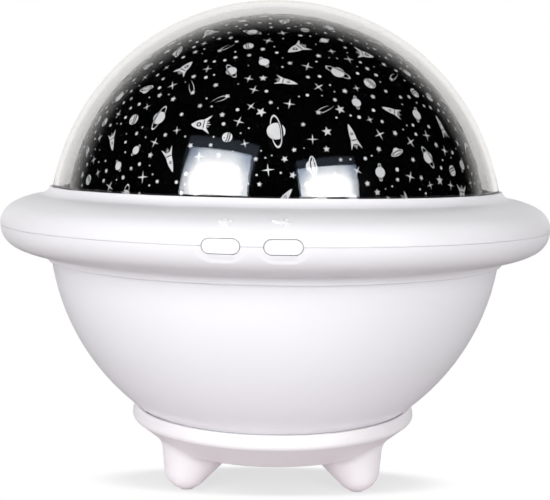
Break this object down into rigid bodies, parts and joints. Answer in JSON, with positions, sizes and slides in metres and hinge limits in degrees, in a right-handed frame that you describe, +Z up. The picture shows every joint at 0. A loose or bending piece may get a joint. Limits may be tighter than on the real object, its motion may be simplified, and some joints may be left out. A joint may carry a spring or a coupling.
{
  "type": "planetarium projector",
  "caption": "Saucer-shaped star projector night light: black star film turning under a clear dome, milky bowl, ring with push buttons, base on feet.",
  "frame": {"origin": "on the floor in the middle of the three feet, on the axis of the dome", "axes": "+Z up along the dome's axis; -Y is the front with the buttons; +X to the right seen from the front"},
  "size_m": [0.15, 0.1498, 0.1337],
  "materials": {
    "white_shell": "satin",
    "milky": "milky gloss",
    "clear": "clear polished",
    "film": "gloss printed",
    "pad": "matte",
    "steel": "zinc plated",
    "motor_can": "zinc plated sheet",
    "circuit_board": "solder mask",
    "chip": "moulded black",
    "led": "phosphor",
    "cell": "laminate pouch",
    "gear_plastic": "acetal",
    "inner_black": "matte"
  },
  "bodies": {
    "housing": {"base": "white_shell", "lower_ring": "white_shell", "upper_ring": "white_shell", "bowl": "milky", "foot_pads": "pad", "base_screws": "steel", "board_screws": "steel", "deck_screws": "steel", "motor_screws": "steel", "led_screws": "steel", "usb_screws": "steel", "usb_socket": "steel", "gear_motor": "motor_can", "main_board": "circuit_board", "switch_board": "circuit_board", "usb_board": "circuit_board", "led_board": "circuit_board", "board_parts": "chip", "night_switch": "chip", "star_switch": "chip", "night_leds": "led", "projection_led": "led", "battery_cell": "cell", "thrust_washer": "gear_plastic", "deck": "inner_black"},
    "drive": {"motor_shaft": "steel", "motor_pinion": "gear_plastic"},
    "turntable": {"turntable": "gear_plastic", "film_ring": "inner_black", "film_dome": "film"},
    "dome": {"clear_dome": "clear"},
    "night_key": {"night_button": "white_shell", "night_plunger": "chip"},
    "star_key": {"star_button": "white_shell", "star_plunger": "chip"}
  },
  "joints": [
    {"name": "turntable_spin", "type": "hinge", "parent": "housing", "child": "turntable", "pos_m": [0, 0, 0.0775], "axis": [0, 0, 1], "continuous": true},
    {"name": "pinion_spin", "type": "hinge", "parent": "housing", "child": "drive", "pos_m": [0.0291, 0.0168, 0.0744], "axis": [0, 0, 1], "continuous": true},
    {"name": "dome_lift", "type": "slide", "parent": "housing", "child": "dome", "axis": [0, 0, 1], "range_m": [0, 0.06]},
    {"name": "night_press", "type": "slide", "parent": "housing", "child": "night_key", "axis": [0.0663, 0.9978, 0], "range_m": [0, 0.0006], "stiffness_N_per_m": 1500, "springref_m": -0.0003},
    {"name": "star_press", "type": "slide", "parent": "housing", "child": "star_key", "axis": [0.0663, 0.9978, 0], "range_m": [0, 0.0006], "stiffness_N_per_m": 1500, "springref_m": -0.0003}
  ],
  "couplings": [
    {"joint": "pinion_spin", "follows": "turntable_spin", "ratio": -5}
  ]
}
